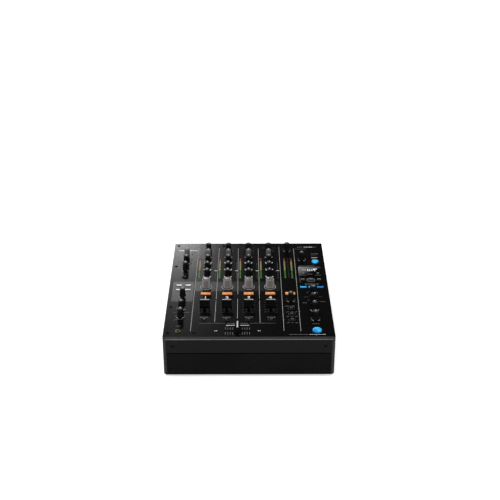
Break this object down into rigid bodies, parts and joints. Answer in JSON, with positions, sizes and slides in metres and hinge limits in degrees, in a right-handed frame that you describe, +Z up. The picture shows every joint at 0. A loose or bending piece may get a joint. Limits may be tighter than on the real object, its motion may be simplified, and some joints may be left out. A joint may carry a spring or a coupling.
{
  "type": "dj mixer",
  "caption": "Tabletop DJ mixer with channel strips of knobs, lit cue buttons, faders, a crossfader, level meters, a headphone section and an effects section with a display.",
  "frame": {"origin": "bottom centre of the whole object, on the plane that its feet stand on", "axes": "+X to the user's right, -Y towards the user, +Z up"},
  "size_m": [0.32, 0.3878, 0.1079],
  "materials": {
    "tray_black": "fine-textured black paint",
    "deck_black": "satin black with a hairline grain",
    "front_black": "satin black",
    "rear_black": "fine-textured black paint",
    "foot_rubber": "matte",
    "screw_black": "black zinc",
    "track_steel": "zinc plated",
    "board_green": "solder resist",
    "supply_black": "matte",
    "window_smoke": "smoked, glossy",
    "phono_metal": "nickel plated",
    "socket_black": "satin",
    "gold_metal": "gold plated",
    "usb_steel": "nickel plated",
    "knob_black": "soft-touch matte",
    "knob_grey": "satin",
    "knob_silver": "fine turned",
    "fader_black": "satin",
    "cue_orange": "translucent, lit",
    "effect_blue": "translucent, lit",
    "switch_grey": "satin",
    "power_black": "satin"
  },
  "bodies": {
    "chassis": {"base_tray": "tray_black", "top_panel": "deck_black", "front_panel": "front_black", "rear_panel": "rear_black", "feet": "foot_rubber", "panel_screws": "screw_black", "fader_tracks": "track_steel", "control_board": "board_green", "power_supply": "supply_black", "clear_windows": "window_smoke", "rca_sockets": "phono_metal", "line_sockets": "socket_black", "phones_sockets": "gold_metal", "usb_sockets": "usb_steel"},
    "crossfader": {"crossfader": "fader_black"},
    "channel_fader_1": {"channel_fader_1": "fader_black"},
    "channel_fader_2": {"channel_fader_2": "fader_black"},
    "channel_fader_3": {"channel_fader_3": "fader_black"},
    "channel_fader_4": {"channel_fader_4": "fader_black"},
    "cue_buttons": {"cue_buttons": "cue_orange"},
    "effect_buttons": {"effect_buttons": "effect_blue"},
    "slide_switches": {"slide_switches": "switch_grey"},
    "power_button": {"power_button": "power_black"},
    "source_selector_1": {"source_selector_1": "knob_black"},
    "trim_knob_1": {"trim_knob_1": "knob_grey"},
    "high_knob_1": {"high_knob_1": "knob_black"},
    "mid_knob_1": {"mid_knob_1": "knob_black"},
    "low_knob_1": {"low_knob_1": "knob_black"},
    "color_knob_1": {"color_knob_1": "knob_silver"},
    "mic_level_knob": {"mic_level_knob": "knob_grey"},
    "parameter_knob": {"parameter_knob": "knob_black"},
    "phones_level_knob": {"phones_level_knob": "knob_black"},
    "master_level_knob": {"master_level_knob": "knob_black"},
    "booth_level_knob": {"booth_level_knob": "knob_black"},
    "send_knob": {"send_knob": "knob_black"},
    "effect_selector": {"effect_selector": "knob_black"},
    "channel_selector": {"channel_selector": "knob_black"},
    "time_knob": {"time_knob": "knob_black"},
    "depth_knob": {"depth_knob": "knob_black"},
    "source_selector_2": {"source_selector_2": "knob_black"},
    "trim_knob_2": {"trim_knob_2": "knob_grey"},
    "high_knob_2": {"high_knob_2": "knob_black"},
    "mid_knob_2": {"mid_knob_2": "knob_black"},
    "low_knob_2": {"low_knob_2": "knob_black"},
    "color_knob_2": {"color_knob_2": "knob_silver"},
    "source_selector_3": {"source_selector_3": "knob_black"},
    "trim_knob_3": {"trim_knob_3": "knob_grey"},
    "high_knob_3": {"high_knob_3": "knob_black"},
    "mid_knob_3": {"mid_knob_3": "knob_black"},
    "low_knob_3": {"low_knob_3": "knob_black"},
    "color_knob_3": {"color_knob_3": "knob_silver"},
    "source_selector_4": {"source_selector_4": "knob_black"},
    "trim_knob_4": {"trim_knob_4": "knob_grey"},
    "high_knob_4": {"high_knob_4": "knob_black"},
    "mid_knob_4": {"mid_knob_4": "knob_black"},
    "low_knob_4": {"low_knob_4": "knob_black"},
    "color_knob_4": {"color_knob_4": "knob_silver"},
    "mic_high_knob": {"mic_high_knob": "knob_black"},
    "mic_low_knob": {"mic_low_knob": "knob_black"},
    "phones_mix_knob": {"phones_mix_knob": "knob_black"}
  },
  "joints": [
    {"name": "crossfader_slide", "type": "slide", "parent": "chassis", "child": "crossfader", "axis": [1, 0, 0], "range_m": [-0.0225, 0.0225]},
    {"name": "channel_fader_1_slide", "type": "slide", "parent": "chassis", "child": "channel_fader_1", "axis": [0, 1, 0], "range_m": [-0.0225, 0.0225]},
    {"name": "channel_fader_2_slide", "type": "slide", "parent": "chassis", "child": "channel_fader_2", "axis": [0, 1, 0], "range_m": [-0.0225, 0.0225]},
    {"name": "channel_fader_3_slide", "type": "slide", "parent": "chassis", "child": "channel_fader_3", "axis": [0, 1, 0], "range_m": [-0.0225, 0.0225]},
    {"name": "channel_fader_4_slide", "type": "slide", "parent": "chassis", "child": "channel_fader_4", "axis": [0, 1, 0], "range_m": [-0.0225, 0.0225]},
    {"name": "cue_buttons_slide", "type": "slide", "parent": "chassis", "child": "cue_buttons", "axis": [0, 0, 1], "range_m": [-0.0012, 0], "stiffness_N_per_m": 500, "springref_m": 0.0006},
    {"name": "effect_buttons_slide", "type": "slide", "parent": "chassis", "child": "effect_buttons", "axis": [0, 0, 1], "range_m": [-0.0012, 0], "stiffness_N_per_m": 500, "springref_m": 0.0006},
    {"name": "slide_switches_slide", "type": "slide", "parent": "chassis", "child": "slide_switches", "axis": [1, 0, 0], "range_m": [-0.0025, 0.0025]},
    {"name": "power_button_slide", "type": "slide", "parent": "chassis", "child": "power_button", "axis": [0, 1, 0], "range_m": [-0.0025, 0], "stiffness_N_per_m": 400, "springref_m": 0.0008},
    {"name": "source_selector_1_turn", "type": "hinge", "parent": "chassis", "child": "source_selector_1", "pos_m": [-0.0857, 0.15865, 0.0884], "axis": [0, 0, 1], "range_deg": [-90, 30]},
    {"name": "trim_knob_1_turn", "type": "hinge", "parent": "chassis", "child": "trim_knob_1", "pos_m": [-0.0857, 0.12915, 0.0884], "axis": [0, 0, 1], "range_deg": [-150, 150]},
    {"name": "high_knob_1_turn", "type": "hinge", "parent": "chassis", "child": "high_knob_1", "pos_m": [-0.0857, 0.10315, 0.0884], "axis": [0, 0, 1], "range_deg": [-150, 150]},
    {"name": "mid_knob_1_turn", "type": "hinge", "parent": "chassis", "child": "mid_knob_1", "pos_m": [-0.0857, 0.07315, 0.0884], "axis": [0, 0, 1], "range_deg": [-150, 150]},
    {"name": "low_knob_1_turn", "type": "hinge", "parent": "chassis", "child": "low_knob_1", "pos_m": [-0.0857, 0.04255, 0.0884], "axis": [0, 0, 1], "range_deg": [-150, 150]},
    {"name": "color_knob_1_turn", "type": "hinge", "parent": "chassis", "child": "color_knob_1", "pos_m": [-0.0857, -0.00145, 0.0884], "axis": [0, 0, 1], "range_deg": [-150, 150]},
    {"name": "mic_level_turn", "type": "hinge", "parent": "chassis", "child": "mic_level_knob", "pos_m": [-0.1312, 0.13315, 0.0884], "axis": [0, 0, 1], "range_deg": [-150, 150]},
    {"name": "parameter_turn", "type": "hinge", "parent": "chassis", "child": "parameter_knob", "pos_m": [-0.1312, -0.03605, 0.0884], "axis": [0, 0, 1], "range_deg": [-150, 150]},
    {"name": "phones_level_turn", "type": "hinge", "parent": "chassis", "child": "phones_level_knob", "pos_m": [-0.1312, -0.11445, 0.0884], "axis": [0, 0, 1], "range_deg": [-150, 150]},
    {"name": "master_level_turn", "type": "hinge", "parent": "chassis", "child": "master_level_knob", "pos_m": [0.0825, 0.16015, 0.0884], "axis": [0, 0, 1], "range_deg": [-150, 150]},
    {"name": "booth_level_turn", "type": "hinge", "parent": "chassis", "child": "booth_level_knob", "pos_m": [0.0825, -0.05395, 0.0884], "axis": [0, 0, 1], "range_deg": [-150, 150]},
    {"name": "send_turn", "type": "hinge", "parent": "chassis", "child": "send_knob", "pos_m": [0.1127, 0.11735, 0.0884], "axis": [0, 0, 1], "range_deg": [-150, 150]},
    {"name": "effect_selector_turn", "type": "hinge", "parent": "chassis", "child": "effect_selector", "pos_m": [0.127, -0.02705, 0.0884], "axis": [0, 0, 1], "range_deg": [-30, 270]},
    {"name": "channel_selector_turn", "type": "hinge", "parent": "chassis", "child": "channel_selector", "pos_m": [0.127, -0.05815, 0.0884], "axis": [0, 0, 1], "range_deg": [-60, 180]},
    {"name": "time_turn", "type": "hinge", "parent": "chassis", "child": "time_knob", "pos_m": [0.127, -0.08985, 0.0884], "axis": [0, 0, 1], "continuous": true},
    {"name": "depth_turn", "type": "hinge", "parent": "chassis", "child": "depth_knob", "pos_m": [0.127, -0.12505, 0.0884], "axis": [0, 0, 1], "range_deg": [-150, 150]},
    {"name": "source_selector_2_turn", "type": "hinge", "parent": "chassis", "child": "source_selector_2", "pos_m": [-0.0429, 0.15865, 0.0884], "axis": [0, 0, 1], "range_deg": [-90, 30]},
    {"name": "trim_knob_2_turn", "type": "hinge", "parent": "chassis", "child": "trim_knob_2", "pos_m": [-0.0429, 0.12915, 0.0884], "axis": [0, 0, 1], "range_deg": [-150, 150]},
    {"name": "high_knob_2_turn", "type": "hinge", "parent": "chassis", "child": "high_knob_2", "pos_m": [-0.0429, 0.10315, 0.0884], "axis": [0, 0, 1], "range_deg": [-150, 150]},
    {"name": "mid_knob_2_turn", "type": "hinge", "parent": "chassis", "child": "mid_knob_2", "pos_m": [-0.0429, 0.07315, 0.0884], "axis": [0, 0, 1], "range_deg": [-150, 150]},
    {"name": "low_knob_2_turn", "type": "hinge", "parent": "chassis", "child": "low_knob_2", "pos_m": [-0.0429, 0.04255, 0.0884], "axis": [0, 0, 1], "range_deg": [-150, 150]},
    {"name": "color_knob_2_turn", "type": "hinge", "parent": "chassis", "child": "color_knob_2", "pos_m": [-0.0429, -0.00145, 0.0884], "axis": [0, 0, 1], "range_deg": [-150, 150]},
    {"name": "source_selector_3_turn", "type": "hinge", "parent": "chassis", "child": "source_selector_3", "pos_m": [-0.0001, 0.15865, 0.0884], "axis": [0, 0, 1], "range_deg": [-90, 30]},
    {"name": "trim_knob_3_turn", "type": "hinge", "parent": "chassis", "child": "trim_knob_3", "pos_m": [-0.0001, 0.12915, 0.0884], "axis": [0, 0, 1], "range_deg": [-150, 150]},
    {"name": "high_knob_3_turn", "type": "hinge", "parent": "chassis", "child": "high_knob_3", "pos_m": [-0.0001, 0.10315, 0.0884], "axis": [0, 0, 1], "range_deg": [-150, 150]},
    {"name": "mid_knob_3_turn", "type": "hinge", "parent": "chassis", "child": "mid_knob_3", "pos_m": [-0.0001, 0.07315, 0.0884], "axis": [0, 0, 1], "range_deg": [-150, 150]},
    {"name": "low_knob_3_turn", "type": "hinge", "parent": "chassis", "child": "low_knob_3", "pos_m": [-0.0001, 0.04255, 0.0884], "axis": [0, 0, 1], "range_deg": [-150, 150]},
    {"name": "color_knob_3_turn", "type": "hinge", "parent": "chassis", "child": "color_knob_3", "pos_m": [-0.0001, -0.00145, 0.0884], "axis": [0, 0, 1], "range_deg": [-150, 150]},
    {"name": "source_selector_4_turn", "type": "hinge", "parent": "chassis", "child": "source_selector_4", "pos_m": [0.0427, 0.15865, 0.0884], "axis": [0, 0, 1], "range_deg": [-90, 30]},
    {"name": "trim_knob_4_turn", "type": "hinge", "parent": "chassis", "child": "trim_knob_4", "pos_m": [0.0427, 0.12915, 0.0884], "axis": [0, 0, 1], "range_deg": [-150, 150]},
    {"name": "high_knob_4_turn", "type": "hinge", "parent": "chassis", "child": "high_knob_4", "pos_m": [0.0427, 0.10315, 0.0884], "axis": [0, 0, 1], "range_deg": [-150, 150]},
    {"name": "mid_knob_4_turn", "type": "hinge", "parent": "chassis", "child": "mid_knob_4", "pos_m": [0.0427, 0.07315, 0.0884], "axis": [0, 0, 1], "range_deg": [-150, 150]},
    {"name": "low_knob_4_turn", "type": "hinge", "parent": "chassis", "child": "low_knob_4", "pos_m": [0.0427, 0.04255, 0.0884], "axis": [0, 0, 1], "range_deg": [-150, 150]},
    {"name": "color_knob_4_turn", "type": "hinge", "parent": "chassis", "child": "color_knob_4", "pos_m": [0.0427, -0.00145, 0.0884], "axis": [0, 0, 1], "range_deg": [-150, 150]},
    {"name": "mic_high_turn", "type": "hinge", "parent": "chassis", "child": "mic_high_knob", "pos_m": [-0.1312, 0.10355, 0.0884], "axis": [0, 0, 1], "range_deg": [-150, 150]},
    {"name": "mic_low_turn", "type": "hinge", "parent": "chassis", "child": "mic_low_knob", "pos_m": [-0.1312, 0.07335, 0.0884], "axis": [0, 0, 1], "range_deg": [-150, 150]},
    {"name": "phones_mix_turn", "type": "hinge", "parent": "chassis", "child": "phones_mix_knob", "pos_m": [-0.1312, -0.08465, 0.0884], "axis": [0, 0, 1], "range_deg": [-150, 150]}
  ]
}
